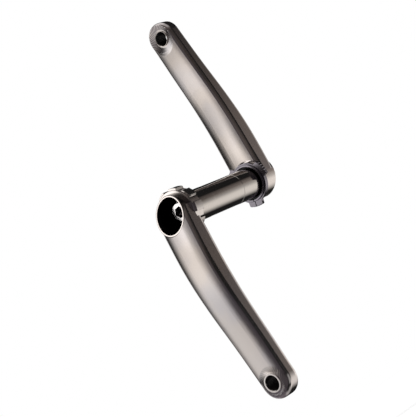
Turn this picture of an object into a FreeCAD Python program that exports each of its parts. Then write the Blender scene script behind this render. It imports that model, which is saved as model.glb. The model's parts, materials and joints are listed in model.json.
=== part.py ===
import FreeCAD, Part
import math
import os
from FreeCAD import Vector

# Two-arm hollow titanium bicycle crankset, in millimetres.
# X points forward, Y along the spindle towards the left arm, Z up. The origin is on the spindle
# axis, midway between the pedal faces. The right (chain side) arm hangs down at -Y, the left stands up.
# Each arm is modelled once in arm space: X across the arm, Y outboard from the middle of the
# crankset, Z from the spindle axis to the pedal. The right arm is the same space turned about X.

# Crank arm
CRANK_LENGTH = 175.0
PEDAL_FACE = 89.9
PEDAL_EYE_THICKNESS = 17.8
ARM_HUB_RADIUS = 19.0
EYE_RADIUS = 16.4
ARM_WALL = 1.2
OUTBOARD_EDGE_RADIUS = 4.6
INBOARD_EDGE_RADIUS = 5.0
CROWN_HALF_WIDTH = 6.5
OUTBOARD_CROWN_RADIUS = 110.0
INBOARD_CROWN_RADIUS = 120.0
OUTBOARD_SHOULDER_RADIUS = 30.0
INBOARD_SHOULDER_RADIUS = 34.0
# Share of the crank length, setback of the outboard face from the pedal face, thickness of the arm
ARM_STATIONS = (
    (0.00, 12.5, 22.1),
    (0.11, 7.9, 24.1),
    (0.23, 4.0, 24.6),
    (0.34, 1.6, 24.0),
    (0.46, 0.5, 22.7),
    (0.57, 0.5, 21.3),
    (0.69, 1.2, 20.0),
    (0.80, 1.6, 19.3),
    (0.91, 1.6, 18.7),
    (1.00, 1.5, 18.5),
    (1.12, 1.5, 18.3),
)

# Hub sleeve of each arm
HUB_RADIUS = 18.5
HUB_WALL = 1.9
MOUTH_FACE = 75.7
MOUTH_TILT_ANGLE = 16.2
LIP_ROUND = 0.45
HUB_SOLID_RADIUS = 28.0
HUB_FACE = 56.6
RIGHT_SPOT_FACE = 65.4
LEFT_SPOT_FACE = 62.6
WELD_GAP = 0.05

# Pedal eye
PEDAL_THREAD_RADIUS = 7.144
PEDAL_THREAD_DEPTH = 0.45
PEDAL_SLEEVE_RADIUS = 8.95
PEDAL_CHAMFER = 0.8
SLEEVE_EDGE_ROUND = 0.3
INBOARD_RIM_RADIUS = 7.9
EYE_SOLID_RADIUS = 17.5
BEAD_RADIUS = 13.2
BEAD_DROP = 0.6
BEAD_SLOPE = 0.40
DISH_DROP = 0.8
DISH_SLOPE = 0.38

# Spindle
SPINDLE_RADIUS = 15.0
SPINDLE_WALL = 2.1
SPINDLE_RELIEF = 0.15
LEFT_SEAT_INNER = 23.3
RIGHT_SEAT_INNER = -23.0
LEFT_SEAT_OUTER = 50.0
RIGHT_SEAT_OUTER = -50.0
SEAT_STEP = 0.3
LEFT_WEB_DEPTH = 8.0

# Face coupling between the spindle and the right arm
COUPLING_PLANE = 53.9
COUPLING_TEETH = 20
COUPLING_TOOTH_HEIGHT = 2.2
COUPLING_RIM = 1.4
COUPLING_PLUG_LENGTH = 15.0
WEB_THICKNESS = 2.6

# Crank bolt and its washer
BOLT_RADIUS = 6.0
BOLT_HOLE_RADIUS = 6.3
BOLT_LENGTH = 16.0
BOLT_HEAD_RADIUS = 9.5
BOLT_HEAD_HEIGHT = 2.8
BOLT_HEAD_BEVEL = 1.2
BOLT_SOCKET_FLATS = 10.0
BOLT_SOCKET_DEPTH = 7.0
WASHER_RADIUS = 9.8
WASHER_THICKNESS = 1.1

# Chainring mount on the right arm
SPLINE_FACE = 52.4
SHOULDER_RADIUS = 21.6
SHOULDER_THICKNESS = 1.7
SPLINE_ROOT_RADIUS = 21.0
SPLINE_TIP_RADIUS = 23.2
SPLINE_TEETH = 9
SPLINE_TOOTH_SHARE = 0.52
SPLINE_FLANK_ANGLE = 2.4
SPLINE_PHASE_ANGLE = 63.0
SPLINE_BEVEL = 0.7
SPIGOT_RADIUS = 17.0
CHAINRING_BOLTS = 3
CHAINRING_BOLT_CIRCLE = 19.1
CHAINRING_BOLT_RADIUS = 1.65
CHAINRING_BOLT_DEPTH = 9.0
TOOTH_CLEARANCE = 0.6

# Bearing preload adjuster on the left arm
LEFT_SPOT_RADIUS = 21.6
ADJUSTER_THREAD_RADIUS = 16.6
ADJUSTER_THREAD_LENGTH = 4.0
ADJUSTER_CLEARANCE = 0.3
ADJUSTER_NOSE_RADIUS = 18.8
ADJUSTER_NOSE_LENGTH = 1.6
ADJUSTER_RIM_RADIUS = 20.0
ADJUSTER_RIM_WIDTH = 4.1
ADJUSTER_BEVEL = 0.5
TAB_COUNT = 3
TAB_RADIUS = 24.2
TAB_SHARE = 0.30
TAB_FLANK_ANGLE = 5.0
TAB_PHASE_ANGLE = -110.0
GRIP_COUNT = 4
GRIP_RADIUS = 0.9
GRIP_DEPTH = 0.5
GRIP_ANGLE = 7.0
SLIT_WIDTH = 1.0
PINCH_SCREW_RADIUS = 1.0
PINCH_HEAD_RADIUS = 1.75
PINCH_HEAD_LENGTH = 1.9
PINCH_SCREW_LENGTH = 8.4
PINCH_HEX_FLATS = 1.5
PINCH_HEX_DEPTH = 1.1
PINCH_AXIS_RADIUS = 21.8
PINCH_HEAD_REACH = 6.4

OVERCUT = 5.0


def along_arm(share):
    return share * CRANK_LENGTH


def outboard_line(inset=0.0):
    """Points of the bowed outboard face on the arm's middle plane."""
    return [Vector(0, PEDAL_FACE - setback - inset, along_arm(share))
            for share, setback, _ in ARM_STATIONS]


def inboard_line(inset=0.0):
    """Points of the inboard face on the arm's middle plane."""
    return [Vector(0, PEDAL_FACE - setback - thickness + inset, along_arm(share))
            for share, setback, thickness in ARM_STATIONS]


def disc(radius, start, end):
    """Cylinder about the spindle axis between two outboard distances."""
    return Part.makeCylinder(radius, end - start, Vector(0, start, 0), Vector(0, 1, 0))


def turned(profile, centre=Vector(0, 0, 0)):
    """Solid of revolution about the Y direction from (radius, outboard) corners."""
    points = [Vector(radius, outboard, 0) for radius, outboard in profile]
    face = Part.Face(Part.makePolygon(points + points[:1]))
    solid = face.revolve(Vector(0, 0, 0), Vector(0, 1, 0), 360)
    solid.translate(centre)
    return solid


def around_axis(shape, angle):
    """Copy turned about the spindle, from +X towards +Z."""
    copy = shape.copy()
    copy.rotate(Vector(0, 0, 0), Vector(0, 1, 0), -angle)
    return copy


def to_right_side(shape):
    """Arm space to the right side: the arm points down and outboard is -Y."""
    copy = shape.copy()
    copy.rotate(Vector(0, 0, 0), Vector(1, 0, 0), 180)
    return copy


def hexagon(flats, start, end, centre, direction):
    """Hexagonal prism for a socket."""
    corner = flats / math.sqrt(3)
    points = [Vector(corner * math.cos(math.radians(60 * i)), corner * math.sin(math.radians(60 * i)), 0)
              for i in range(7)]
    prism = Part.Face(Part.makePolygon(points)).extrude(Vector(0, 0, end - start))
    prism.Placement = FreeCAD.Placement(centre + direction * start, FreeCAD.Rotation(Vector(0, 0, 1), direction))
    return prism


def crown_points(crown, shoulder, half_width):
    """Offsets and drops from a face's middle line of a three-centred crown: its joints, mid-shoulders and ends."""
    lean = math.asin(CROWN_HALF_WIDTH / crown)
    joint = (CROWN_HALF_WIDTH, crown * (1 - math.cos(lean)))
    middle_x = (crown - shoulder) * math.sin(lean)
    middle_drop = crown - (crown - shoulder) * math.cos(lean)
    drop_at = lambda x: middle_drop - math.sqrt(shoulder ** 2 - (x - middle_x) ** 2)
    halfway = (CROWN_HALF_WIDTH + half_width) / 2
    return joint, (halfway, drop_at(halfway)), (half_width, drop_at(half_width))


def crown_edges(apex, inward, crown, shoulder, half_width):
    """Crown across the arm from one side to the other, as a middle arc between two shoulder arcs."""
    joint, halfway, end = crown_points(crown, shoulder, half_width)
    at = lambda side, point: apex + Vector(side * point[0], inward * point[1], 0)
    return [
        Part.Arc(at(-1, end), at(-1, halfway), at(-1, joint)).toShape(),
        Part.Arc(at(-1, joint), apex, at(1, joint)).toShape(),
        Part.Arc(at(1, joint), at(1, halfway), at(1, end)).toShape(),
    ]


def crowned_section(station_out, station_in, half_width, inset):
    """Closed section across the arm: two crowned faces joined by straight sides."""
    outer = crown_edges(station_out, -1, OUTBOARD_CROWN_RADIUS - inset, OUTBOARD_SHOULDER_RADIUS - inset,
                        half_width)
    inner = crown_edges(station_in, 1, INBOARD_CROWN_RADIUS - inset, INBOARD_SHOULDER_RADIUS - inset,
                        half_width)
    start = lambda edges: edges[0].Vertexes[0].Point
    end = lambda edges: edges[-1].Vertexes[-1].Point
    sides = [Part.makeLine(end(outer), end(inner)), Part.makeLine(start(inner), start(outer))]
    return Part.Wire(outer + sides[:1] + inner[::-1] + sides[1:])


def arm_plan(inset):
    """Outline seen along the spindle: sides tangent to the hub and to the pedal eye."""
    hub = ARM_HUB_RADIUS - inset
    eye = EYE_RADIUS - inset
    lean = math.asin((hub - eye) / CRANK_LENGTH)
    across = math.cos(lean)
    rise = math.sin(lean)
    side_hub = Vector(hub * across, 0, hub * rise)
    side_eye = Vector(eye * across, 0, CRANK_LENGTH + eye * rise)
    flip = lambda p: Vector(-p.x, p.y, p.z)
    tip = Vector(0, 0, CRANK_LENGTH + eye)
    edges = [
        Part.makeLine(side_hub, side_eye),
        Part.Arc(side_eye, tip, flip(side_eye)).toShape(),
        Part.makeLine(flip(side_eye), flip(side_hub)),
        Part.makeLine(flip(side_hub), side_hub),
    ]
    face = Part.Face(Part.Wire(edges))
    height = PEDAL_FACE + OVERCUT
    return face.extrude(Vector(0, height, 0))


def middle_at(height):
    """Outboard distance of the arm's mid-thickness at a height along the arm."""
    stations = [(along_arm(share), PEDAL_FACE - setback - thickness / 2)
                for share, setback, thickness in ARM_STATIONS]
    for (low, first), (high, second) in zip(stations, stations[1:]):
        if height <= high:
            return first + (second - first) * (height - low) / (high - low)
    return stations[-1][1]


def rim_edges(body, outboard):
    """Edges that run along one face of the arm and round its eye."""
    chosen = []
    for edge in body.Edges:
        box = edge.BoundBox
        through_thickness = box.YLength > 0.9 * edge.Length
        at_hub_end = box.ZMax < HUB_RADIUS / 2
        centre = edge.valueAt((edge.FirstParameter + edge.LastParameter) / 2)
        on_side = (centre.y > middle_at(centre.z)) == outboard
        crown_joint = box.XLength < CROWN_HALF_WIDTH / 2 and abs(centre.x) < 1.5 * CROWN_HALF_WIDTH
        if on_side and not (through_thickness or at_hub_end or crown_joint):
            chosen.append(edge)
    return chosen


def arm_body(inset=0.0):
    """The arm's closed outer form, or its cavity when inset by the wall."""
    half_width = ARM_HUB_RADIUS + OVERCUT
    pairs = zip(outboard_line(inset), inboard_line(inset))
    sections = [crowned_section(outer, inner, half_width, inset) for outer, inner in pairs]
    bowed = Part.makeLoft(sections, True, False)
    body = bowed.common(arm_plan(inset)).Solids[0]
    body = body.makeFillet(INBOARD_EDGE_RADIUS - inset, rim_edges(body, False))
    return body.makeFillet(OUTBOARD_EDGE_RADIUS - inset, rim_edges(body, True))


def outboard_half():
    """Space outboard of the arm's mid-thickness, where the two pressed halves meet."""
    reach = PEDAL_FACE + OVERCUT
    points = [Vector(0, PEDAL_FACE - setback - thickness / 2, along_arm(share))
              for share, setback, thickness in ARM_STATIONS]
    seam = Part.BSplineCurve()
    seam.interpolate(points)
    high = Vector(0, reach, points[-1].z)
    low = Vector(0, reach, points[0].z)
    edges = [
        seam.toShape(),
        Part.makeLine(points[-1], high),
        Part.makeLine(high, low),
        Part.makeLine(low, points[0]),
    ]
    width = 2 * (ARM_HUB_RADIUS + OVERCUT)
    face = Part.Face(Part.Wire(edges))
    face.translate(Vector(-width / 2, 0, 0))
    return face.extrude(Vector(width, 0, 0))


def pedal_axis_cylinder(radius, start, end):
    return Part.makeCylinder(radius, end - start, Vector(0, start, CRANK_LENGTH), Vector(0, 1, 0))


def arm_shells(spot_radius, spot_face):
    """Outboard and inboard halves of the welded arm, cut for the hub and pedal sleeves."""
    eye = Vector(0, 0, CRANK_LENGTH)
    beyond = PEDAL_FACE + OVERCUT
    inner_face = PEDAL_FACE - PEDAL_EYE_THICKNESS
    body = arm_body()
    cavity = arm_body(ARM_WALL)
    cavity = cavity.cut(disc(HUB_SOLID_RADIUS, 0, beyond))
    cavity = cavity.cut(pedal_axis_cylinder(EYE_SOLID_RADIUS, 0, beyond))

    lip = PEDAL_FACE - BEAD_DROP
    sleeve = PEDAL_SLEEVE_RADIUS
    foot = lip - BEAD_SLOPE * (BEAD_RADIUS - sleeve)
    bead = turned([(0, foot - OVERCUT), (BEAD_RADIUS, foot - OVERCUT), (BEAD_RADIUS, foot),
                   (sleeve, lip), (0, lip)], eye)

    floor = inner_face + DISH_DROP
    reach = ARM_HUB_RADIUS + OVERCUT
    edge = floor - DISH_SLOPE * (reach - sleeve)
    dish = turned([(0, 0), (reach, 0), (reach, edge), (sleeve, floor), (0, floor)], eye)

    body = body.fuse(bead).cut(dish)
    body = body.cut([
        cavity,
        disc(HUB_RADIUS + WELD_GAP, 0, beyond),
        disc(spot_radius, 0, spot_face),
        pedal_axis_cylinder(PEDAL_SLEEVE_RADIUS + WELD_GAP, 0, beyond),
    ])
    half = outboard_half()
    return body.common(half), body.cut(half)


def pedal_sleeve():
    """Threaded sleeve welded through the pedal eye."""
    outer = PEDAL_FACE
    inner = PEDAL_FACE - PEDAL_EYE_THICKNESS
    bore = PEDAL_THREAD_RADIUS - PEDAL_THREAD_DEPTH
    rim = SLEEVE_EDGE_ROUND
    dish = inner + DISH_DROP
    rim_foot = dish + DISH_SLOPE * (PEDAL_SLEEVE_RADIUS - INBOARD_RIM_RADIUS)
    profile = [
        (bore, inner + PEDAL_CHAMFER), (bore + PEDAL_CHAMFER, inner),
        (INBOARD_RIM_RADIUS, inner), (INBOARD_RIM_RADIUS, rim_foot), (PEDAL_SLEEVE_RADIUS, dish),
        (PEDAL_SLEEVE_RADIUS, outer - rim), (PEDAL_SLEEVE_RADIUS - rim, outer),
        (bore + PEDAL_CHAMFER, outer), (bore, outer - PEDAL_CHAMFER),
    ]
    return turned(profile, Vector(0, 0, CRANK_LENGTH))


def slanted_mouth(tube):
    """Cuts the tube's outboard end on a slant that rises towards the pedal, and rounds its lip."""
    size = 4 * HUB_RADIUS
    beyond = Part.makeBox(2 * size, size, 2 * size, Vector(-size, 0, -size))
    beyond.rotate(Vector(0, 0, 0), Vector(1, 0, 0), -MOUTH_TILT_ANGLE)
    beyond.translate(Vector(0, MOUTH_FACE, 0))
    cut = tube.cut(beyond)
    rim = [edge for edge in cut.Edges if edge.BoundBox.YLength > HUB_WALL]
    rim = [edge for edge in rim if edge.Curve.TypeId == "Part::GeomEllipse"]
    return cut.makeFillet(LIP_ROUND, rim)


def hub_tube(start):
    """Open mouth tube of a hub, from an inboard start to the slanted lip."""
    longest = MOUTH_FACE + HUB_RADIUS * math.tan(math.radians(MOUTH_TILT_ANGLE)) + OVERCUT
    tube = disc(HUB_RADIUS, start, longest).cut(disc(HUB_RADIUS - HUB_WALL, start, longest))
    return slanted_mouth(tube)


def coupling_space(depth):
    """Solid whose top is the zigzag of radial teeth about the coupling plane, crests towards +Y."""
    reach = SPINDLE_RADIUS * 1.5
    amplitude = COUPLING_TOOTH_HEIGHT / 2 * reach / SPINDLE_RADIUS
    apex = Vector(0, COUPLING_PLANE, 0)
    step = math.pi / COUPLING_TEETH
    ring = []
    base = []
    for i in range(2 * COUPLING_TEETH):
        offset = amplitude if i % 2 == 0 else -amplitude
        x = reach * math.cos(i * step)
        z = reach * math.sin(i * step)
        ring.append(Vector(x, COUPLING_PLANE + offset, z))
        base.append(Vector(x, COUPLING_PLANE - depth, z))
    faces = [Part.Face(Part.makePolygon(base + base[:1]))]
    for i in range(len(ring)):
        j = (i + 1) % len(ring)
        faces.append(Part.Face(Part.makePolygon([apex, ring[i], ring[j], apex])))
        faces.append(Part.Face(Part.makePolygon([base[i], base[j], ring[j], ring[i], base[i]])))
    solid = Part.makeSolid(Part.makeShell(faces))
    return solid if solid.Volume > 0 else solid.reversed()


def right_hub_sleeve():
    """Mouth tube, toothed web that takes the bolt, and spigot that carries the chainring mount."""
    inner = SPINDLE_RADIUS + WELD_GAP
    web_face = COUPLING_PLANE + WEB_THICKNESS
    sleeve = hub_tube(RIGHT_SPOT_FACE)
    floor = RIGHT_SPOT_FACE + HUB_WALL
    ledge = disc(HUB_RADIUS, RIGHT_SPOT_FACE, floor).cut(disc(SPIGOT_RADIUS, 0, PEDAL_FACE))
    start = SPLINE_FACE + SLEEVE_EDGE_ROUND
    spigot = disc(SPIGOT_RADIUS, start, floor)
    spigot = spigot.cut(disc(HUB_RADIUS - HUB_WALL, web_face, PEDAL_FACE))
    spigot = spigot.cut(disc(inner, 0, COUPLING_PLANE - COUPLING_TOOTH_HEIGHT))
    spigot = spigot.cut(disc(inner, 0, web_face).common(coupling_space(COUPLING_PLANE)))
    spigot = spigot.cut(disc(BOLT_HOLE_RADIUS, 0, PEDAL_FACE))
    return sleeve.fuse([ledge, spigot]).removeSplitter()


def left_hub_sleeve():
    """Mouth tube with the web that the spindle is welded into and the adjuster's thread boss."""
    web_end = HUB_FACE + LEFT_WEB_DEPTH
    tube = hub_tube(HUB_FACE)
    web = disc(HUB_RADIUS, HUB_FACE, web_end)
    boss = disc(ADJUSTER_THREAD_RADIUS, HUB_FACE - ADJUSTER_THREAD_LENGTH, web_end)
    body = tube.fuse([web, boss]).removeSplitter()
    return body.cut(disc(SPINDLE_RADIUS + WELD_GAP, 0, PEDAL_FACE))


def spindle_tube():
    """Hollow spindle with a ground bearing seat near each arm, proud of the rest of the tube."""
    bore = SPINDLE_RADIUS - SPINDLE_WALL
    waist = SPINDLE_RADIUS - SPINDLE_RELIEF
    left_end = HUB_FACE + LEFT_WEB_DEPTH
    right_end = COUPLING_RIM - COUPLING_PLANE
    profile = [
        (bore, right_end), (waist, right_end),
        (waist, RIGHT_SEAT_OUTER - SEAT_STEP), (SPINDLE_RADIUS, RIGHT_SEAT_OUTER),
        (SPINDLE_RADIUS, RIGHT_SEAT_INNER - SEAT_STEP), (waist, RIGHT_SEAT_INNER),
        (waist, LEFT_SEAT_INNER), (SPINDLE_RADIUS, LEFT_SEAT_INNER + SEAT_STEP),
        (SPINDLE_RADIUS, LEFT_SEAT_OUTER), (waist, LEFT_SEAT_OUTER + SEAT_STEP),
        (waist, left_end), (bore, left_end),
    ]
    return turned(profile)


def spindle_coupling():
    """Threaded plug welded into the spindle's right end, with the radial teeth on its face."""
    rim_start = COUPLING_PLANE - COUPLING_RIM
    rim = disc(SPINDLE_RADIUS, rim_start, COUPLING_PLANE + COUPLING_TOOTH_HEIGHT)
    plug = disc(SPINDLE_RADIUS - SPINDLE_WALL - WELD_GAP, rim_start - COUPLING_PLUG_LENGTH, COUPLING_PLANE)
    whole = rim.fuse(plug).common(coupling_space(COUPLING_PLANE))
    return whole.cut(disc(BOLT_RADIUS + WELD_GAP, 0, PEDAL_FACE)).removeSplitter()


def crank_washer():
    seat = COUPLING_PLANE + WEB_THICKNESS
    ring = disc(WASHER_RADIUS, seat, seat + WASHER_THICKNESS)
    return ring.cut(disc(BOLT_HOLE_RADIUS, seat, seat + WASHER_THICKNESS))


def crank_bolt():
    """Socket-head bolt that pulls the right arm onto the coupling."""
    seat = COUPLING_PLANE + WEB_THICKNESS + WASHER_THICKNESS
    top = seat + BOLT_HEAD_HEIGHT
    tip = seat - BOLT_LENGTH
    bevel = BOLT_HEAD_BEVEL
    profile = [
        (0, tip), (BOLT_RADIUS - bevel, tip), (BOLT_RADIUS, tip + bevel), (BOLT_RADIUS, seat),
        (BOLT_HEAD_RADIUS, seat), (BOLT_HEAD_RADIUS, top - bevel),
        (BOLT_HEAD_RADIUS - bevel, top), (0, top),
    ]
    socket = hexagon(BOLT_SOCKET_FLATS, top - BOLT_SOCKET_DEPTH, top + OVERCUT,
                     Vector(0, 0, 0), Vector(0, 1, 0))
    return turned(profile).cut(socket)


def toothed_disc(root, tip, count, share, flank, phase, start, end):
    """Disc with wide, square-shouldered teeth evenly spaced from a phase angle."""
    pitch = 2 * math.pi / count
    tip_half = pitch * share / 2
    root_half = tip_half + math.radians(flank)
    at = lambda radius, angle: Vector(radius * math.cos(angle), start, radius * math.sin(angle))
    edges = []
    for i in range(count):
        middle = math.radians(phase) + i * pitch
        foot = at(root, middle - root_half)
        rise = at(tip, middle - tip_half)
        fall = at(tip, middle + tip_half)
        heel = at(root, middle + root_half)
        next_foot = at(root, middle + pitch - root_half)
        edges += [
            Part.makeLine(foot, rise),
            Part.Arc(rise, at(tip, middle), fall).toShape(),
            Part.makeLine(fall, heel),
            Part.Arc(heel, at(root, middle + pitch / 2), next_foot).toShape(),
        ]
    return Part.Face(Part.Wire(edges)).extrude(Vector(0, end - start, 0))


def chainring_mount():
    """Splined flange for a direct-mount chainring, with a shoulder and three tapped holes."""
    end = RIGHT_SPOT_FACE - SHOULDER_THICKNESS
    bevel = SPLINE_BEVEL
    envelope = turned([
        (0, SPLINE_FACE), (SPLINE_TIP_RADIUS - bevel, SPLINE_FACE),
        (SPLINE_TIP_RADIUS, SPLINE_FACE + bevel), (SPLINE_TIP_RADIUS, end - bevel / 2),
        (SPLINE_TIP_RADIUS - bevel / 2, end), (0, end),
    ])
    shoulder = turned([
        (0, end), (SHOULDER_RADIUS, end), (SHOULDER_RADIUS, RIGHT_SPOT_FACE - bevel),
        (SHOULDER_RADIUS - bevel, RIGHT_SPOT_FACE), (0, RIGHT_SPOT_FACE),
    ])
    teeth = toothed_disc(SPLINE_ROOT_RADIUS, SPLINE_TIP_RADIUS, SPLINE_TEETH, SPLINE_TOOTH_SHARE,
                         SPLINE_FLANK_ANGLE, -SPLINE_PHASE_ANGLE, SPLINE_FACE, end)
    mount = teeth.common(envelope).fuse(shoulder)
    holes = [disc(SPIGOT_RADIUS + WELD_GAP, 0, PEDAL_FACE)]
    for i in range(CHAINRING_BOLTS):
        angle = -SPLINE_PHASE_ANGLE + i * 360 / CHAINRING_BOLTS
        hole = Part.makeCylinder(CHAINRING_BOLT_RADIUS, CHAINRING_BOLT_DEPTH,
                                 Vector(CHAINRING_BOLT_CIRCLE, SPLINE_FACE, 0), Vector(0, 1, 0))
        holes.append(around_axis(hole, angle))
    return mount.cut(holes)


def adjuster_span():
    """Outboard distances of the adjuster's rim."""
    end = HUB_FACE - ADJUSTER_CLEARANCE
    return end - ADJUSTER_RIM_WIDTH, end


def pinch_axis(start, end, radius):
    """Cylinder along the pinch screw, before it is turned to its tab."""
    rim_start, rim_end = adjuster_span()
    foot = Vector(PINCH_AXIS_RADIUS, (rim_start + rim_end) / 2, start)
    return Part.makeCylinder(radius, end - start, foot, Vector(0, 0, 1))


def preload_adjuster():
    """Split ring with three finger tabs, on the left hub's thread, that presses on the bearing."""
    start, end = adjuster_span()
    nose = start - ADJUSTER_NOSE_LENGTH
    bore = ADJUSTER_THREAD_RADIUS + ADJUSTER_CLEARANCE
    bevel = ADJUSTER_BEVEL
    envelope = turned([
        (bore, nose), (ADJUSTER_NOSE_RADIUS - bevel, nose), (ADJUSTER_NOSE_RADIUS, nose + bevel),
        (ADJUSTER_NOSE_RADIUS, start), (TAB_RADIUS - bevel, start), (TAB_RADIUS, start + bevel),
        (TAB_RADIUS, end - bevel), (TAB_RADIUS - bevel, end), (bore, end),
    ])
    tabs = toothed_disc(ADJUSTER_RIM_RADIUS, TAB_RADIUS, TAB_COUNT, TAB_SHARE, TAB_FLANK_ANGLE,
                        TAB_PHASE_ANGLE, nose, end)
    body = tabs.common(envelope)
    cuts = []
    grip_centre = TAB_RADIUS - GRIP_DEPTH + GRIP_RADIUS
    for tab in range(TAB_COUNT):
        for i in range(GRIP_COUNT):
            notch = Part.makeCylinder(GRIP_RADIUS, end - nose, Vector(grip_centre, nose, 0), Vector(0, 1, 0))
            offset = (i - (GRIP_COUNT - 1) / 2) * GRIP_ANGLE
            cuts.append(around_axis(notch, TAB_PHASE_ANGLE + tab * 360 / TAB_COUNT + offset))
    seat = PINCH_HEAD_REACH - PINCH_HEAD_LENGTH
    slit = Part.makeBox(TAB_RADIUS, end, SLIT_WIDTH, Vector(OVERCUT, 0, -SLIT_WIDTH / 2))
    counterbore = pinch_axis(seat, PINCH_HEAD_REACH + OVERCUT, PINCH_HEAD_RADIUS + WELD_GAP)
    thread = pinch_axis(seat - PINCH_SCREW_LENGTH - WELD_GAP, seat, PINCH_SCREW_RADIUS + WELD_GAP)
    cuts += [around_axis(cut, TAB_PHASE_ANGLE) for cut in (slit, counterbore, thread)]
    return body.cut(cuts)


def pinch_screw():
    """Small socket-head screw that closes the adjuster's slit."""
    seat = PINCH_HEAD_REACH - PINCH_HEAD_LENGTH
    head = pinch_axis(seat, PINCH_HEAD_REACH, PINCH_HEAD_RADIUS)
    shank = pinch_axis(seat - PINCH_SCREW_LENGTH, seat, PINCH_SCREW_RADIUS)
    rim_start, rim_end = adjuster_span()
    socket = hexagon(PINCH_HEX_FLATS, PINCH_HEAD_REACH - PINCH_HEX_DEPTH, PINCH_HEAD_REACH + OVERCUT,
                     Vector(PINCH_AXIS_RADIUS, (rim_start + rim_end) / 2, 0), Vector(0, 0, 1))
    return around_axis(head.fuse(shank).removeSplitter().cut(socket), TAB_PHASE_ANGLE)


def build():
    right_outer, right_inner = arm_shells(SPLINE_TIP_RADIUS + TOOTH_CLEARANCE, RIGHT_SPOT_FACE)
    left_outer, left_inner = arm_shells(LEFT_SPOT_RADIUS, LEFT_SPOT_FACE)
    sleeve = pedal_sleeve()
    return {
        "right_arm_outer_shell": to_right_side(right_outer),
        "right_arm_inner_shell": to_right_side(right_inner),
        "right_hub_sleeve": to_right_side(right_hub_sleeve()),
        "right_pedal_sleeve": to_right_side(sleeve),
        "chainring_spline_flange": to_right_side(chainring_mount()),
        "crank_bolt": to_right_side(crank_bolt()),
        "crank_bolt_washer": to_right_side(crank_washer()),
        "spindle_coupling": to_right_side(spindle_coupling()),
        "spindle_tube": spindle_tube(),
        "left_arm_outer_shell": left_outer,
        "left_arm_inner_shell": left_inner,
        "left_hub_sleeve": left_hub_sleeve(),
        "left_pedal_sleeve": sleeve,
        "preload_adjuster": preload_adjuster(),
        "adjuster_pinch_screw": pinch_screw(),
    }


os.makedirs("parts", exist_ok=True)
for name, shape in build().items():
    shape.exportStep("parts/" + name + ".step")
    print(name, "solids", len(shape.Solids), "valid", shape.isValid(), "volume", round(shape.Volume, 1))
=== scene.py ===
"""Looks of the hollow titanium bicycle crankset: satin arms, turned sleeves, welds, threads and studio."""

import json
import math
from collections import namedtuple

import bmesh
import bpy
from mathutils import Matrix, Vector
from mathutils.bvhtree import BVHTree


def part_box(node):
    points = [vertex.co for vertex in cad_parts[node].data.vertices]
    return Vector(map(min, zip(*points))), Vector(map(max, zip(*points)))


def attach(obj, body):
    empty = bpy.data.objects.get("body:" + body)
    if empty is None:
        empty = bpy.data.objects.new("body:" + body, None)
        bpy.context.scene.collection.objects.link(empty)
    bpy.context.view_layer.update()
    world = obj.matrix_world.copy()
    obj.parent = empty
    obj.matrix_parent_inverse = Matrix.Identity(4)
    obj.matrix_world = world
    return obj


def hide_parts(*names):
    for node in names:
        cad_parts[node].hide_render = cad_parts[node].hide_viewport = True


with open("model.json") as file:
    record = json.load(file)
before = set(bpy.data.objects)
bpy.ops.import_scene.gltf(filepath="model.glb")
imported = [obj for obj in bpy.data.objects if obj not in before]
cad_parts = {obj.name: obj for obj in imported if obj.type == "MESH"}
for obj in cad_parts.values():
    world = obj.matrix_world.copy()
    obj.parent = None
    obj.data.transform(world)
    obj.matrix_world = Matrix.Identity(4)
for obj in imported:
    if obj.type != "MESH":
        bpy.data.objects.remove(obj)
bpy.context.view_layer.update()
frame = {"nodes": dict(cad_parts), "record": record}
nodes = frame["nodes"]

# Sizes from the frame. The left arm points along +Z and its outboard side is +Y
MM = 0.001
mounts = {mount["name"]: mount for mount in frame["record"]["mounts"]}
sleeve_lowest, sleeve_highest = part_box("left_pedal_sleeve")
CRANK_LENGTH = mounts["left_pedal_thread"]["pos_m"][2]
PEDAL_FACE = sleeve_highest.y
PEDAL_INNER_FACE = sleeve_lowest.y
PEDAL_SLEEVE_RADIUS = sleeve_highest.x
THREAD_CREST_RADIUS = mounts["left_pedal_thread"]["dims"]["r_mm"] * MM

# Pedal thread. Its profile is given in shares of the pitch
THREAD_DEPTH = 0.45 * MM
THREAD_ROOT_RADIUS = THREAD_CREST_RADIUS + THREAD_DEPTH
THREAD_PITCH = 1.27 * MM
THREAD_CHAMFER = 0.8 * MM
THREAD_SPARE_TURNS = 3
CREST_END = 0.22
ROOT_START = 0.53
ROOT_END = 0.69

# Turned pedal sleeve
SLEEVE_EDGE_ROUND = 0.3 * MM
SLEEVE_EDGE_ANGLES = (0, 22.5, 45, 67.5, 90)
INBOARD_RIM_RADIUS = 7.9 * MM
INBOARD_RIM_HEIGHT = 1.2 * MM
INBOARD_EDGE_HEIGHT = 0.2 * MM
INBOARD_EDGE_WIDTH = 0.15 * MM

# Ground weld round a pedal eye. The fades are slopes over a share of the weld's width
WELD_INNER_RADIUS = PEDAL_SLEEVE_RADIUS + 0.02 * MM
WELD_OUTER_RADIUS = 15.0 * MM
WELD_ROWS = 20
WELD_STEPS = 336
WELD_LIFT = 0.04 * MM
WELD_DEPTH = 0.5 * MM
WELD_EDGE_DROP = 0.05 * MM
WELD_EDGE_SHARE = 0.03
WELD_RIPPLES = 34
RIPPLE_HEIGHT = 0.06 * MM
RIPPLE_SWIRL = 0.5
RIPPLE_FADE_IN = 6
RIPPLE_FADE_OUT = 4
LIFT_FADE_OUT = 8
FLARE_SLOPE = 0.34
SLOPE_STEP = 0.3 * MM
HOLE_MARGIN = 0.1 * MM
LOOK_FROM = 40 * MM

# Meshing
ROUND_STEPS = 96
SHARP_ANGLE = 32
MERGE_DISTANCE = 0.002 * MM
CUT_TOLERANCE = 0.0005 * MM
LOOP_TOLERANCE = 0.001 * MM
RIM_MARGIN = 0.05 * MM

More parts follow.
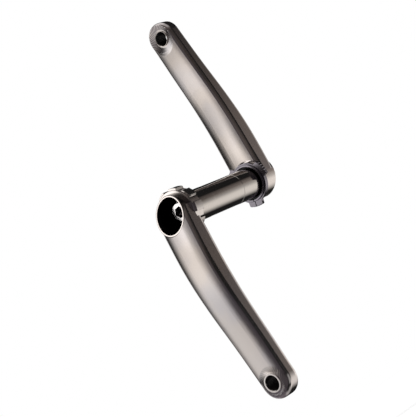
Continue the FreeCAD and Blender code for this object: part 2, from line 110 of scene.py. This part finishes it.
# Radii on the spindle axis where painted shade starts: inside the hub's bore, outside the right hub's neck
# and inside the bolt's socket
HUB_BORE_RADIUS = 16.8 * MM
HUB_NECK_RADIUS = 17.9 * MM
BOLT_SOCKET_RADIUS = 5.0 * MM

# Camera, floor and sun
CAMERA_PLACE = Vector((0.747832, -0.972726, -0.208807))
CAMERA_AIM = Vector((-0.011706, -0.008359, -0.004052))
CAMERA_ROLL = 34.894
CAMERA_NEAREST = 0.01
LENS = 113.63
FLOOR_HEIGHT = -0.26
FLOOR_RADIUS = 1.6
FLOOR_GLOW = 1.12
FLOOR_GLOW_SHARE = 0.7
SUN_STRENGTH = 3.0
SUN_WIDTH = 25
SUN_TILT = (25, -30, 0)

# Colours
WHITE = (1.0, 1.0, 1.0, 1.0)
PALE_FLOOR = (0.9, 0.9, 0.9, 1.0)
TITANIUM_WARM = (0.640, 0.585, 0.552, 1.0)
TITANIUM_COOL = (0.590, 0.555, 0.555, 1.0)
SLEEVE_LIGHT = (0.760, 0.715, 0.690, 1.0)
SPINDLE_LIGHT = (0.640, 0.600, 0.565, 1.0)
SPINDLE_DARK = (0.560, 0.525, 0.500, 1.0)
MACHINED_LIGHT = (0.740, 0.700, 0.680, 1.0)
MACHINED_DARK = (0.600, 0.560, 0.535, 1.0)
STEEL_LIGHT = (0.820, 0.800, 0.800, 1.0)
STEEL_DARK = (0.660, 0.645, 0.650, 1.0)
ANODISED_LIGHT = (0.300, 0.280, 0.315, 1.0)
ANODISED_DARK = (0.170, 0.160, 0.180, 1.0)
# Near-black painted shade for the pedal thread's bore, the lighter of its two tones
THREAD_PAINTED_SHADE = (0.050, 0.047, 0.046, 1.0)
# Near-black painted shade for recesses: the hubs' bores, the bolt's socket and the pedal thread's bore
PAINTED_SHADE_BLACK = (0.012, 0.012, 0.013, 1.0)
# Painted shade for the right hub sleeve's outer wall, next to the arm
NECK_PAINTED_SHADE = (0.200, 0.182, 0.176, 1.0)


# Node helpers


def new_group(name, inputs, outputs):
    """Empty shader node group with float, vector or colour sockets."""
    group = bpy.data.node_groups.new(name, "ShaderNodeTree")
    for socket, kind, value in inputs:
        made = group.interface.new_socket(socket, in_out="INPUT", socket_type=kind)
        made.default_value = value
    for socket, kind in outputs:
        group.interface.new_socket(socket, in_out="OUTPUT", socket_type=kind)
    return group, group.nodes.new("NodeGroupInput"), group.nodes.new("NodeGroupOutput")


def feed(tree, socket, value):
    """Links an output to a socket, or sets the socket to a plain value."""
    if isinstance(value, bpy.types.NodeSocket):
        tree.links.new(value, socket)
    else:
        socket.default_value = value


def maths(tree, operation, first, second=None, third=None):
    """Math node on links or numbers."""
    node = tree.nodes.new("ShaderNodeMath")
    node.operation = operation
    for socket, value in zip(node.inputs, (first, second, third)):
        if value is not None:
            feed(tree, socket, value)
    return node.outputs[0]


def vector_maths(tree, operation, first, second=None):
    """Vector Math node on links or vectors. A length or a dot product comes out as a number."""
    node = tree.nodes.new("ShaderNodeVectorMath")
    node.operation = operation
    feed(tree, node.inputs[0], first)
    if second is not None:
        feed(tree, node.inputs["Scale" if operation == "SCALE" else 1], second)
    return node.outputs["Value" if operation in ("LENGTH", "DOT_PRODUCT") else "Vector"]


def distance_from_axis(tree, place):
    """Distance of a place from the Y axis."""
    return vector_maths(tree, "LENGTH", vector_maths(tree, "MULTIPLY", place, (1, 0, 1)))


def smooth_step(tree, value, low, high):
    """0 below low, 1 above high, with a smooth change between."""
    node = tree.nodes.new("ShaderNodeMapRange")
    node.interpolation_type = "SMOOTHSTEP"
    tree.links.new(value, node.inputs["Value"])
    node.inputs["From Min"].default_value = low
    node.inputs["From Max"].default_value = high
    return node.outputs["Result"]


def mix_colours(tree, share, first, second):
    node = tree.nodes.new("ShaderNodeMix")
    node.data_type = "RGBA"
    tree.links.new(share, node.inputs["Factor"])
    feed(tree, node.inputs[6], first)
    feed(tree, node.inputs[7], second)
    return node.outputs[2]


def placed_group(tree, group, **values):
    node = tree.nodes.new("ShaderNodeGroup")
    node.node_tree = group
    for name, value in values.items():
        feed(tree, node.inputs[name.replace("_", " ")], value)
    return node


# Shared surface effects

PATCH_TONES = (0.35, 0.65)
MARK_TONES = (0.3, 0.7)
TONE_INPUTS = [
    ("Light", "NodeSocketColor", WHITE), ("Dark", "NodeSocketColor", WHITE),
    ("Roughness", "NodeSocketFloat", 0.2), ("Roughness Spread", "NodeSocketFloat", 0.06)]
SURFACE_OUTPUTS = [
    ("Color", "NodeSocketColor"), ("Roughness", "NodeSocketFloat"), ("Height", "NodeSocketFloat")]


def put_out_surface(group, start, end, tone, relief):
    """Colour from the tone, and roughness and height from the fine relief."""
    colour = mix_colours(group, tone, start.outputs["Dark"], start.outputs["Light"])
    offset = maths(group, "SUBTRACT", relief, 0.5)
    rough = maths(
        group, "MULTIPLY_ADD", offset, start.outputs["Roughness Spread"], start.outputs["Roughness"])
    for name, value in (("Color", colour), ("Roughness", rough), ("Height", relief)):
        group.links.new(value, end.inputs[name])


def make_satin_grain():
    """Fine brushed lines along one direction over a slow change of tone."""
    group, start, end = new_group(
        "satin_grain",
        [("Position", "NodeSocketVector", (0, 0, 0)), ("Fineness", "NodeSocketVector", (1, 1, 1)),
         ("Patch Scale", "NodeSocketFloat", 12.0)] + TONE_INPUTS,
        SURFACE_OUTPUTS)
    lines = group.nodes.new("ShaderNodeTexNoise")
    lines.inputs["Scale"].default_value = 1.0
    lines.inputs["Detail"].default_value = 3.0
    stretched = vector_maths(group, "MULTIPLY", start.outputs["Position"], start.outputs["Fineness"])
    group.links.new(stretched, lines.inputs["Vector"])
    patches = group.nodes.new("ShaderNodeTexNoise")
    patches.inputs["Detail"].default_value = 2.0
    group.links.new(start.outputs["Position"], patches.inputs["Vector"])
    group.links.new(start.outputs["Patch Scale"], patches.inputs["Scale"])
    tone = smooth_step(group, patches.outputs["Fac"], *PATCH_TONES)
    put_out_surface(group, start, end, tone, lines.outputs["Fac"])
    return group


def make_turning_marks():
    """Concentric tool marks about the spindle axis, on flat ends and on round walls."""
    group, start, end = new_group(
        "turning_marks",
        [("Position", "NodeSocketVector", (0, 0, 0)), ("Marks per Metre", "NodeSocketFloat", 4000.0)]
        + TONE_INPUTS,
        SURFACE_OUTPUTS)
    place = start.outputs["Position"]
    along = vector_maths(group, "DOT_PRODUCT", place, (0, 1, 0))
    track = maths(group, "ADD", distance_from_axis(group, place), along)
    marks = group.nodes.new("ShaderNodeTexNoise")
    marks.noise_dimensions = "1D"
    marks.inputs["Scale"].default_value = 1.0
    marks.inputs["Detail"].default_value = 4.0
    group.links.new(maths(group, "MULTIPLY", track, start.outputs["Marks per Metre"]), marks.inputs["W"])
    tone = smooth_step(group, marks.outputs["Fac"], *MARK_TONES)
    put_out_surface(group, start, end, tone, marks.outputs["Fac"])
    return group


SATIN_GRAIN = make_satin_grain()
TURNING_MARKS = make_turning_marks()


def metal(name, effect, depth, **values):
    """Metal whose colour, roughness and relief come from one shared effect."""
    material = bpy.data.materials.new(name)
    material.use_nodes = True
    tree = material.node_tree
    shader = tree.nodes["Principled BSDF"]
    place = tree.nodes.new("ShaderNodeTexCoord")
    surface = placed_group(tree, effect, Position=place.outputs["Object"], **values)
    bump = tree.nodes.new("ShaderNodeBump")
    bump.inputs["Distance"].default_value = depth
    tree.links.new(surface.outputs["Height"], bump.inputs["Height"])
    tree.links.new(bump.outputs["Normal"], shader.inputs["Normal"])
    tree.links.new(surface.outputs["Color"], shader.inputs["Base Color"])
    tree.links.new(surface.outputs["Roughness"], shader.inputs["Roughness"])
    shader.inputs["Metallic"].default_value = 1.0
    return material


def recolour(material, name, operation, radius, colour_there):
    """The same metal in another colour nearer to the spindle axis than a radius, or farther from it."""
    changed = material.copy()
    changed.name = name
    tree = changed.node_tree
    shader = tree.nodes["Principled BSDF"]
    place = tree.nodes.new("ShaderNodeTexCoord").outputs["Object"]
    there = maths(tree, operation, distance_from_axis(tree, place), radius)
    colour = mix_colours(tree, there, shader.inputs["Base Color"].links[0].from_socket, colour_there)
    tree.links.new(colour, shader.inputs["Base Color"])
    return changed


arm_finish = metal(
    "satin titanium", SATIN_GRAIN, 0.002 * MM, Fineness=(1500, 1500, 60), Patch_Scale=28.0,
    Light=TITANIUM_WARM, Dark=TITANIUM_COOL, Roughness=0.17, Roughness_Spread=0.05)
weld_finish = metal(
    "ground weld", SATIN_GRAIN, 0.002 * MM, Fineness=(900, 900, 900), Patch_Scale=60.0,
    Light=TITANIUM_WARM, Dark=TITANIUM_COOL, Roughness=0.15, Roughness_Spread=0.05)
sleeve_finish = metal(
    "turned titanium", TURNING_MARKS, 0.003 * MM, Marks_per_Metre=3500.0,
    Light=SLEEVE_LIGHT, Dark=TITANIUM_WARM, Roughness=0.15, Roughness_Spread=0.08)
# Painted shade: the pedal thread's bore past the chamfer is coloured near-black
thread_painted_shade_finish = metal(
    "thread with painted shade", TURNING_MARKS, 0.004 * MM, Marks_per_Metre=3000.0,
    Light=THREAD_PAINTED_SHADE, Dark=PAINTED_SHADE_BLACK, Roughness=0.35, Roughness_Spread=0.1)
spindle_finish = metal(
    "ground titanium", TURNING_MARKS, 0.0015 * MM, Marks_per_Metre=2200.0,
    Light=SPINDLE_LIGHT, Dark=SPINDLE_DARK, Roughness=0.11, Roughness_Spread=0.08)
mount_finish = metal(
    "machined titanium", TURNING_MARKS, 0.004 * MM, Marks_per_Metre=2600.0,
    Light=MACHINED_LIGHT, Dark=MACHINED_DARK, Roughness=0.16, Roughness_Spread=0.08)
steel_finish = metal(
    "turned steel", TURNING_MARKS, 0.003 * MM, Marks_per_Metre=5000.0,
    Light=STEEL_LIGHT, Dark=STEEL_DARK, Roughness=0.16, Roughness_Spread=0.08)
ring_finish = metal(
    "anodised aluminium", TURNING_MARKS, 0.0015 * MM, Marks_per_Metre=5200.0,
    Light=ANODISED_LIGHT, Dark=ANODISED_DARK, Roughness=0.26, Roughness_Spread=0.1)
# Painted shade: the hub's bore and web are coloured near-black
hub_painted_shade_finish = recolour(sleeve_finish, "turned titanium, painted shade inside", "LESS_THAN", HUB_BORE_RADIUS, PAINTED_SHADE_BLACK)
# Painted shade: the right hub sleeve's outer wall beyond the neck radius is coloured dark grey
neck_painted_shade_finish = recolour(
    hub_painted_shade_finish, "titanium with painted shade on the neck", "GREATER_THAN", HUB_NECK_RADIUS, NECK_PAINTED_SHADE)
# Painted shade: the bolt's hex socket is coloured near-black
bolt_painted_shade_finish = recolour(steel_finish, "turned steel, painted shade in socket", "LESS_THAN", BOLT_SOCKET_RADIUS, PAINTED_SHADE_BLACK)

FINISHES = {
    "right_arm_outer_shell": arm_finish,
    "right_arm_inner_shell": arm_finish,
    "left_arm_outer_shell": arm_finish,
    "left_arm_inner_shell": arm_finish,
    "right_hub_sleeve": neck_painted_shade_finish,
    "left_hub_sleeve": hub_painted_shade_finish,
    "chainring_spline_flange": mount_finish,
    "spindle_coupling": spindle_finish,
    "spindle_tube": spindle_finish,
    "crank_bolt": bolt_painted_shade_finish,
    "crank_bolt_washer": steel_finish,
    "preload_adjuster": ring_finish,
    "adjuster_pinch_screw": steel_finish,
}
for node, finish in FINISHES.items():
    mesh = nodes[node].data
    mesh.materials.clear()
    mesh.materials.append(finish)


# New pieces. Each is shaped in arm space: Y outboard, Z from the spindle to the pedal

ARM_SPACE = {"left": Matrix.Identity(4), "right": Matrix.Rotation(math.pi, 4, "X")}
EYE_CENTRE = Vector((0, 0, CRANK_LENGTH))
OUTBOARD = Vector((0, 1, 0))


def finish_piece(shape, name, side, finishes):
    """Turns a closed shape into a named piece that rides on the crankset."""
    bmesh.ops.transform(shape, verts=shape.verts, matrix=ARM_SPACE[side])
    bmesh.ops.recalc_face_normals(shape, faces=shape.faces)
    mesh = bpy.data.meshes.new(name)
    shape.to_mesh(mesh)
    shape.free()
    for finish in finishes:
        mesh.materials.append(finish)
    mesh.shade_smooth()
    mesh.set_sharp_from_angle(angle=math.radians(SHARP_ANGLE))
    piece = bpy.data.objects.new(name, mesh)
    bpy.context.collection.objects.link(piece)
    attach(piece, "crankset")
    return piece


def profile_line(shape, points):
    """Open chain of edges through (radius, outboard distance) points beside the pedal axis."""
    made = [shape.verts.new(EYE_CENTRE + Vector((radius, outboard, 0))) for radius, outboard in points]
    return made + [shape.edges.new(pair) for pair in zip(made, made[1:])]


def turn_profile(shape, points, steps):
    """Closed surface of revolution of a profile line about the pedal axis."""
    line = profile_line(shape, points)
    bmesh.ops.spin(
        shape, geom=line, cent=EYE_CENTRE, axis=OUTBOARD, angle=2 * math.pi, steps=steps, use_merge=True)


def place_at_eye(vertex):
    """Offset of a vertex from the eye's centre, its distance from the pedal axis and its angle there."""
    away = vertex.co - EYE_CENTRE
    return away, math.hypot(away.x, away.z), math.atan2(away.z, away.x)


def open_loop(shape, outboard, radii):
    """Boundary edges of a shape at one outboard distance, between two radii of the pedal axis."""
    def fits(vertex):
        away, radius, _ = place_at_eye(vertex)
        return abs(away.y - outboard) < LOOP_TOLERANCE and radii[0] < radius < radii[1]
    return [edge for edge in shape.edges if edge.is_boundary and all(fits(vertex) for vertex in edge.verts)]


def depth_in_sleeve(outboard):
    """Distance to the nearer end face of the pedal sleeve."""
    return min(outboard - PEDAL_INNER_FACE, PEDAL_FACE - outboard)


def make_thread(shape, handedness):
    """Inside wall of the sleeve with its thread, opened by a chamfer at both faces."""
    turns = math.ceil((PEDAL_FACE - PEDAL_INNER_FACE) / THREAD_PITCH) + THREAD_SPARE_TURNS
    points = []
    for turn in range(turns):
        start = PEDAL_INNER_FACE + (turn - THREAD_SPARE_TURNS / 2) * THREAD_PITCH
        points += [
            (THREAD_CREST_RADIUS, start), (THREAD_CREST_RADIUS, start + CREST_END * THREAD_PITCH),
            (THREAD_ROOT_RADIUS, start + ROOT_START * THREAD_PITCH),
            (THREAD_ROOT_RADIUS, start + ROOT_END * THREAD_PITCH)]
    bmesh.ops.spin(
        shape, geom=profile_line(shape, points), cent=EYE_CENTRE, axis=OUTBOARD, angle=2 * math.pi,
        steps=ROUND_STEPS, dvec=OUTBOARD * handedness * THREAD_PITCH / ROUND_STEPS, use_duplicate=False)
    bmesh.ops.remove_doubles(shape, verts=shape.verts, dist=MERGE_DISTANCE)
    for vertex in shape.verts:
        away, radius, _ = place_at_eye(vertex)
        wider = max(radius, THREAD_CREST_RADIUS + THREAD_CHAMFER - depth_in_sleeve(away.y)) / radius
        vertex.co = EYE_CENTRE + Vector((away.x * wider, away.y, away.z * wider))
    for face, direction in ((PEDAL_FACE, 1), (PEDAL_INNER_FACE, -1)):
        everything = shape.verts[:] + shape.edges[:] + shape.faces[:]
        bmesh.ops.bisect_plane(
            shape, geom=everything, dist=CUT_TOLERANCE, plane_co=(0, face, 0), plane_no=(0, direction, 0),
            clear_outer=True)
    for face in shape.faces:
        depth = depth_in_sleeve(face.calc_center_median().y)
        # Faces past the chamfer take the thread's near-black painted shade
        face.material_index = 0 if depth < THREAD_CHAMFER - THREAD_DEPTH / 2 else 1


def make_pedal_sleeve(side, handedness):
    """Turned sleeve with a real helical thread, a flat rim and a rounded outboard edge."""
    shape = bmesh.new()
    make_thread(shape, handedness)
    rounding = [
        (PEDAL_SLEEVE_RADIUS - SLEEVE_EDGE_ROUND * (1 - math.sin(math.radians(angle))),
         PEDAL_FACE - SLEEVE_EDGE_ROUND * (1 - math.cos(math.radians(angle))))
        for angle in SLEEVE_EDGE_ANGLES]
    rim_top = PEDAL_INNER_FACE + INBOARD_RIM_HEIGHT
    inboard_rim = [
        (PEDAL_SLEEVE_RADIUS, rim_top), (INBOARD_RIM_RADIUS, rim_top),
        (INBOARD_RIM_RADIUS, PEDAL_INNER_FACE + INBOARD_EDGE_HEIGHT),
        (INBOARD_RIM_RADIUS - INBOARD_EDGE_WIDTH, PEDAL_INNER_FACE)]
    turn_profile(shape, rounding + inboard_rim, ROUND_STEPS)
    mouth = THREAD_CREST_RADIUS + THREAD_CHAMFER + RIM_MARGIN
    for face in (PEDAL_FACE, PEDAL_INNER_FACE):
        hole = open_loop(shape, face, (0, mouth))
        rim = open_loop(shape, face, (mouth, PEDAL_SLEEVE_RADIUS))
        bmesh.ops.bridge_loops(shape, edges=hole + rim)
    piece = finish_piece(
        shape, side + "_pedal_thread_sleeve", side, (sleeve_finish, thread_painted_shade_finish))
    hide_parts(side + "_pedal_sleeve")


def arm_surface(side):
    """Search tree of both halves of an arm, in arm space."""
    to_arm_space = ARM_SPACE[side].inverted()
    corners = []
    faces = []
    for half in ("outer", "inner"):
        mesh = nodes[side + "_arm_" + half + "_shell"].data
        first = len(corners)
        corners += [to_arm_space @ vertex.co for vertex in mesh.vertices]
        faces += [[first + index for index in polygon.vertices] for polygon in mesh.polygons]
    return BVHTree.FromPolygons(corners, faces)


def smooth_curve(share, start, start_slope, end, end_slope):
    """Height at a share of the way between two heights that are left and reached at given slopes."""
    return (
        start * (2 * share ** 3 - 3 * share ** 2 + 1) + start_slope * (share ** 3 - 2 * share ** 2 + share)
        + end * (3 * share ** 2 - 2 * share ** 3) + end_slope * (share ** 3 - share ** 2))


def make_pedal_weld(side, face):
    """Ground weld that flares from the sleeve into the arm's face, with curved ripples round the eye."""
    surface = arm_surface(side)
    outward = OUTBOARD if face == "outboard" else -OUTBOARD
    far = EYE_CENTRE + OUTBOARD * PEDAL_FACE + outward * LOOK_FROM
    span = WELD_OUTER_RADIUS - WELD_INNER_RADIUS
    shape = bmesh.new()
    rows = [(WELD_INNER_RADIUS + span * row / WELD_ROWS, 0) for row in range(WELD_ROWS + 1)]
    turn_profile(shape, rows, WELD_STEPS)

    def height(radius, angle):
        """Height of the arm's face, measured outward from the far point that the ray starts from."""
        radius = max(radius, WELD_INNER_RADIUS + HOLE_MARGIN)
        start = Vector((radius * math.cos(angle), far.y, CRANK_LENGTH + radius * math.sin(angle)))
        place = surface.ray_cast(start, -outward)[0]
        return (place - start).dot(outward)

    for vertex in shape.verts:
        _, radius, angle = place_at_eye(vertex)
        share = (radius - WELD_INNER_RADIUS) / span
        top = height(radius, angle)
        if face == "outboard":
            foot = height(WELD_INNER_RADIUS, angle)
            edge = height(WELD_OUTER_RADIUS, angle)
            edge_slope = (height(WELD_OUTER_RADIUS + SLOPE_STEP, angle) - edge) / SLOPE_STEP
            top = max(top, smooth_curve(share, foot, -FLARE_SLOPE * span, edge, edge_slope * span))
        fade = min(1, RIPPLE_FADE_IN * share, RIPPLE_FADE_OUT * (1 - share))
        ripple = math.sin(WELD_RIPPLES * (angle + RIPPLE_SWIRL * share))
        top += WELD_LIFT * min(1, LIFT_FADE_OUT * (1 - share)) + RIPPLE_HEIGHT * fade * ripple
        top -= WELD_EDGE_DROP * max(0, share - 1 + WELD_EDGE_SHARE) / WELD_EDGE_SHARE
        vertex.co.y = far.y + outward.y * top
    wall = bmesh.ops.extrude_face_region(shape, geom=shape.faces[:])
    lower = [item for item in wall["geom"] if isinstance(item, bmesh.types.BMVert)]
    bmesh.ops.translate(shape, verts=lower, vec=-outward * WELD_DEPTH)
    finish_piece(shape, "_".join((side, "pedal_weld", face)), side, (weld_finish,))


for side, handedness in (("right", 1), ("left", -1)):
    make_pedal_sleeve(side, handedness)
    for face in ("outboard", "inboard"):
        make_pedal_weld(side, face)


# Studio

FRONT_FADE = 0.1
SMALLEST_FACING = 0.001


def make_soft_card():
    """Brightness of a soft-edged rectangular card in a direction, or at a place on the card's plane."""
    group, start, end = new_group(
        "soft_card",
        [("Direction", "NodeSocketVector", (0, 0, 1)), ("Facing", "NodeSocketVector", (0, 0, 1)),
         ("Across", "NodeSocketVector", (1, 0, 0)), ("Upward", "NodeSocketVector", (0, 1, 0)),
         ("Half Width", "NodeSocketFloat", 0.5), ("Half Height", "NodeSocketFloat", 0.5),
         ("Side Softness", "NodeSocketFloat", 0.1), ("End Softness", "NodeSocketFloat", 0.1),
         ("Strength", "NodeSocketFloat", 1.0)],
        [("Brightness", "NodeSocketFloat")])

    def part(axis):
        return vector_maths(group, "DOT_PRODUCT", start.outputs["Direction"], start.outputs[axis])

    facing = part("Facing")
    ahead = maths(group, "MAXIMUM", facing, SMALLEST_FACING)

    def within(axis, half, softness):
        offset = maths(group, "ABSOLUTE", maths(group, "DIVIDE", part(axis), ahead))
        beyond = maths(group, "SUBTRACT", offset, start.outputs[half])
        share = maths(group, "DIVIDE", beyond, start.outputs[softness])
        return maths(group, "SUBTRACT", 1.0, smooth_step(group, share, -1.0, 1.0))

    in_width = within("Across", "Half Width", "Side Softness")
    in_height = within("Upward", "Half Height", "End Softness")
    in_front = smooth_step(group, facing, 0.0, FRONT_FADE)
    area = maths(group, "MULTIPLY", maths(group, "MULTIPLY", in_width, in_height), in_front)
    group.links.new(maths(group, "MULTIPLY", area, start.outputs["Strength"]), end.inputs["Brightness"])
    return group


SOFT_CARD = make_soft_card()
CARD_FIELDS = "azimuth elevation roll half_width half_height side_softness end_softness strength tint"
Card = namedtuple("Card", CARD_FIELDS)
NEUTRAL = (1.0, 1.0, 1.0)
CREAM = (1.0, 0.965, 0.925)
LAVENDER = (1.0, 0.90, 1.02)
BROWN = (1.0, 0.86, 0.80)

# Angles in degrees, then brightness. The key card stands close by, and the others are in the world
KEY_CARD = Card(-121, 22, -12, 19.5, 19.5, 26, 11, 1.16, CREAM)
KEY_DISTANCE = 0.46
KEY_MARGIN = 2
WORLD_CARDS = {
    "key foot": Card(-135, 4.5, 0, 22, 10, 19, 8, 0.9, NEUTRAL),
    "upper left": Card(-144, 42, -15, 22, 9, 9, 8, 1.35, NEUTRAL),
    "left fill": Card(-160, -40, 0, 37, 28, 30, 30, 0.22, LAVENDER),
    "right": Card(91.5, -1, 8, 30, 18, 7.5, 8, 0.55, CREAM),
    "low right": Card(67, -30, -32.5, 20.5, 31, 16.5, 5, 1.0, CREAM),
    "dim side": Card(58.5, 3.5, -8, 7.5, 11, 5, 7.5, 0.25, BROWN),
    "top": Card(-22, 61.5, 0, 41.5, 41.5, 30, 26.5, 0.13, BROWN),
    "low front": Card(-77, -8, -45, 41.5, 35, 11.5, 29, 0.08, LAVENDER),
    "far side": Card(153, 5, 0, 20, 38, 8, 12, 0.6, NEUTRAL),
    "near side": Card(2, -27, 0, 24, 22, 10, 6, 0.4, NEUTRAL),
    "near side above": Card(2, 52, 0, 24, 16, 10, 8, 0.4, NEUTRAL),
    "overhead": Card(100, 82, 0, 24, 24, 10, 10, 0.9, NEUTRAL),
    "underneath": Card(100, -80, 0, 26, 26, 10, 10, 0.45, NEUTRAL),
}
SURROUND = (0.015, 0.015, 0.015)
ROOM_LIGHT = (0.3, 0.3, 0.3, 1.0)


def card_axes(card):
    """Directions from the origin to a card, across it and up it."""
    azimuth = math.radians(card.azimuth)
    elevation = math.radians(card.elevation)
    level = math.cos(elevation)
    facing = Vector((math.cos(azimuth) * level, math.sin(azimuth) * level, math.sin(elevation)))
    across = facing.cross(Vector((0, 0, 1))).normalized()
    upward = across.cross(facing)
    turn = Matrix.Rotation(math.radians(card.roll), 3, facing)
    return facing, turn @ across, turn @ upward


def spread(angle):
    """Half size, at a distance of 1, of a card that is seen at this half angle in degrees."""
    return math.tan(math.radians(angle))


def card_brightness(tree, card, direction):
    facing, across, upward = card_axes(card)
    return placed_group(
        tree, SOFT_CARD, Direction=direction, Facing=facing, Across=across, Upward=upward,
        Half_Width=spread(card.half_width), Half_Height=spread(card.half_height),
        Side_Softness=spread(card.side_softness), End_Softness=spread(card.end_softness),
        Strength=card.strength).outputs["Brightness"]


def light_world():
    """White to the camera and through clear things, the cards in reflections, and an even room elsewhere."""
    world = bpy.data.worlds.new("studio")
    bpy.context.scene.world = world
    world.use_nodes = True
    tree = world.node_tree
    direction = tree.nodes.new("ShaderNodeTexCoord").outputs["Generated"]
    total = (0, 0, 0)
    for card in WORLD_CARDS.values():
        light = vector_maths(tree, "SCALE", card.tint, card_brightness(tree, card, direction))
        total = vector_maths(tree, "ADD", light, total)
    studio = vector_maths(tree, "MAXIMUM", total, SURROUND)
    path = tree.nodes.new("ShaderNodeLightPath")
    seen = maths(tree, "MAXIMUM", path.outputs["Is Camera Ray"], path.outputs["Is Transmission Ray"])
    lit = mix_colours(tree, path.outputs["Is Glossy Ray"], ROOM_LIGHT, studio)
    tree.links.new(mix_colours(tree, seen, lit, WHITE), tree.nodes["Background"].inputs["Color"])


def hang_key_card():
    """Glowing sheet near the crankset that fades to nothing at its edges and hides from the camera."""
    facing, across, upward = card_axes(KEY_CARD)
    wide = KEY_DISTANCE * spread(KEY_CARD.half_width + KEY_CARD.side_softness + KEY_MARGIN)
    high = KEY_DISTANCE * spread(KEY_CARD.half_height + KEY_CARD.end_softness + KEY_MARGIN)
    turned = Matrix((across, upward, facing)).transposed().to_4x4()
    mesh = bpy.data.meshes.new("key card")
    shape = bmesh.new()
    bmesh.ops.create_grid(shape, x_segments=1, y_segments=1, size=1.0)
    bmesh.ops.scale(shape, verts=shape.verts, vec=(wide, high, 1))
    bmesh.ops.transform(shape, verts=shape.verts, matrix=Matrix.Translation(facing * KEY_DISTANCE) @ turned)
    shape.to_mesh(mesh)
    shape.free()
    card = bpy.data.objects.new("key_card", mesh)
    bpy.context.collection.objects.link(card)
    card.visible_camera = False
    card.visible_diffuse = False
    card.visible_shadow = False
    material = bpy.data.materials.new("soft glow")
    material.use_nodes = True
    tree = material.node_tree
    tree.nodes.remove(tree.nodes["Principled BSDF"])
    place = tree.nodes.new("ShaderNodeTexCoord").outputs["Object"]
    glow = tree.nodes.new("ShaderNodeEmission")
    glow.inputs["Color"].default_value = (*KEY_CARD.tint, 1.0)
    tree.links.new(card_brightness(tree, KEY_CARD, place), glow.inputs["Strength"])
    clear = tree.nodes.new("ShaderNodeBsdfTransparent")
    both = tree.nodes.new("ShaderNodeAddShader")
    tree.links.new(glow.outputs[0], both.inputs[0])
    tree.links.new(clear.outputs[0], both.inputs[1])
    tree.links.new(both.outputs[0], tree.nodes["Material Output"].inputs["Surface"])
    mesh.materials.append(material)


def make_floor():
    """Pale floor, white to the camera, that keeps the crankset's shadow."""
    mesh = bpy.data.meshes.new("floor")
    shape = bmesh.new()
    bmesh.ops.create_circle(shape, cap_ends=True, segments=ROUND_STEPS, radius=FLOOR_RADIUS)
    bmesh.ops.translate(shape, verts=shape.verts, vec=(0, 0, FLOOR_HEIGHT))
    shape.to_mesh(mesh)
    shape.free()
    floor = bpy.data.objects.new("floor", mesh)
    bpy.context.collection.objects.link(floor)
    floor.visible_glossy = False
    material = bpy.data.materials.new("pale floor")
    material.use_nodes = True
    tree = material.node_tree
    shader = tree.nodes["Principled BSDF"]
    shader.inputs["Base Color"].default_value = PALE_FLOOR
    shader.inputs["Roughness"].default_value = 1.0
    shader.inputs["Specular IOR Level"].default_value = 0.0
    glow = tree.nodes.new("ShaderNodeEmission")
    glow.inputs["Strength"].default_value = FLOOR_GLOW
    mix = tree.nodes.new("ShaderNodeMixShader")
    path = tree.nodes.new("ShaderNodeLightPath")
    share = maths(tree, "MULTIPLY", path.outputs["Is Camera Ray"], FLOOR_GLOW_SHARE)
    tree.links.new(share, mix.inputs[0])
    tree.links.new(shader.outputs[0], mix.inputs[1])
    tree.links.new(glow.outputs[0], mix.inputs[2])
    tree.links.new(mix.outputs[0], tree.nodes["Material Output"].inputs["Surface"])
    mesh.materials.append(material)


def add_sun():
    data = bpy.data.lights.new("sun", "SUN")
    data.energy = SUN_STRENGTH
    data.angle = math.radians(SUN_WIDTH)
    sun = bpy.data.objects.new("sun", data)
    sun.rotation_euler = [math.radians(angle) for angle in SUN_TILT]
    sun.visible_glossy = False
    bpy.context.collection.objects.link(sun)


def add_camera():
    camera = bpy.data.objects.new("camera", bpy.data.cameras.new("camera"))
    bpy.context.collection.objects.link(camera)
    camera.data.lens = LENS
    camera.data.clip_start = CAMERA_NEAREST
    look = (CAMERA_AIM - CAMERA_PLACE).to_track_quat("-Z", "Y").to_matrix()
    roll = Matrix.Rotation(math.radians(-CAMERA_ROLL), 3, "Z")
    camera.matrix_world = Matrix.Translation(CAMERA_PLACE) @ (look @ roll).to_4x4()
    bpy.context.scene.camera = camera


light_world()
hang_key_card()
make_floor()
add_sun()
add_camera()
bpy.context.scene.view_settings.view_transform = "Standard"
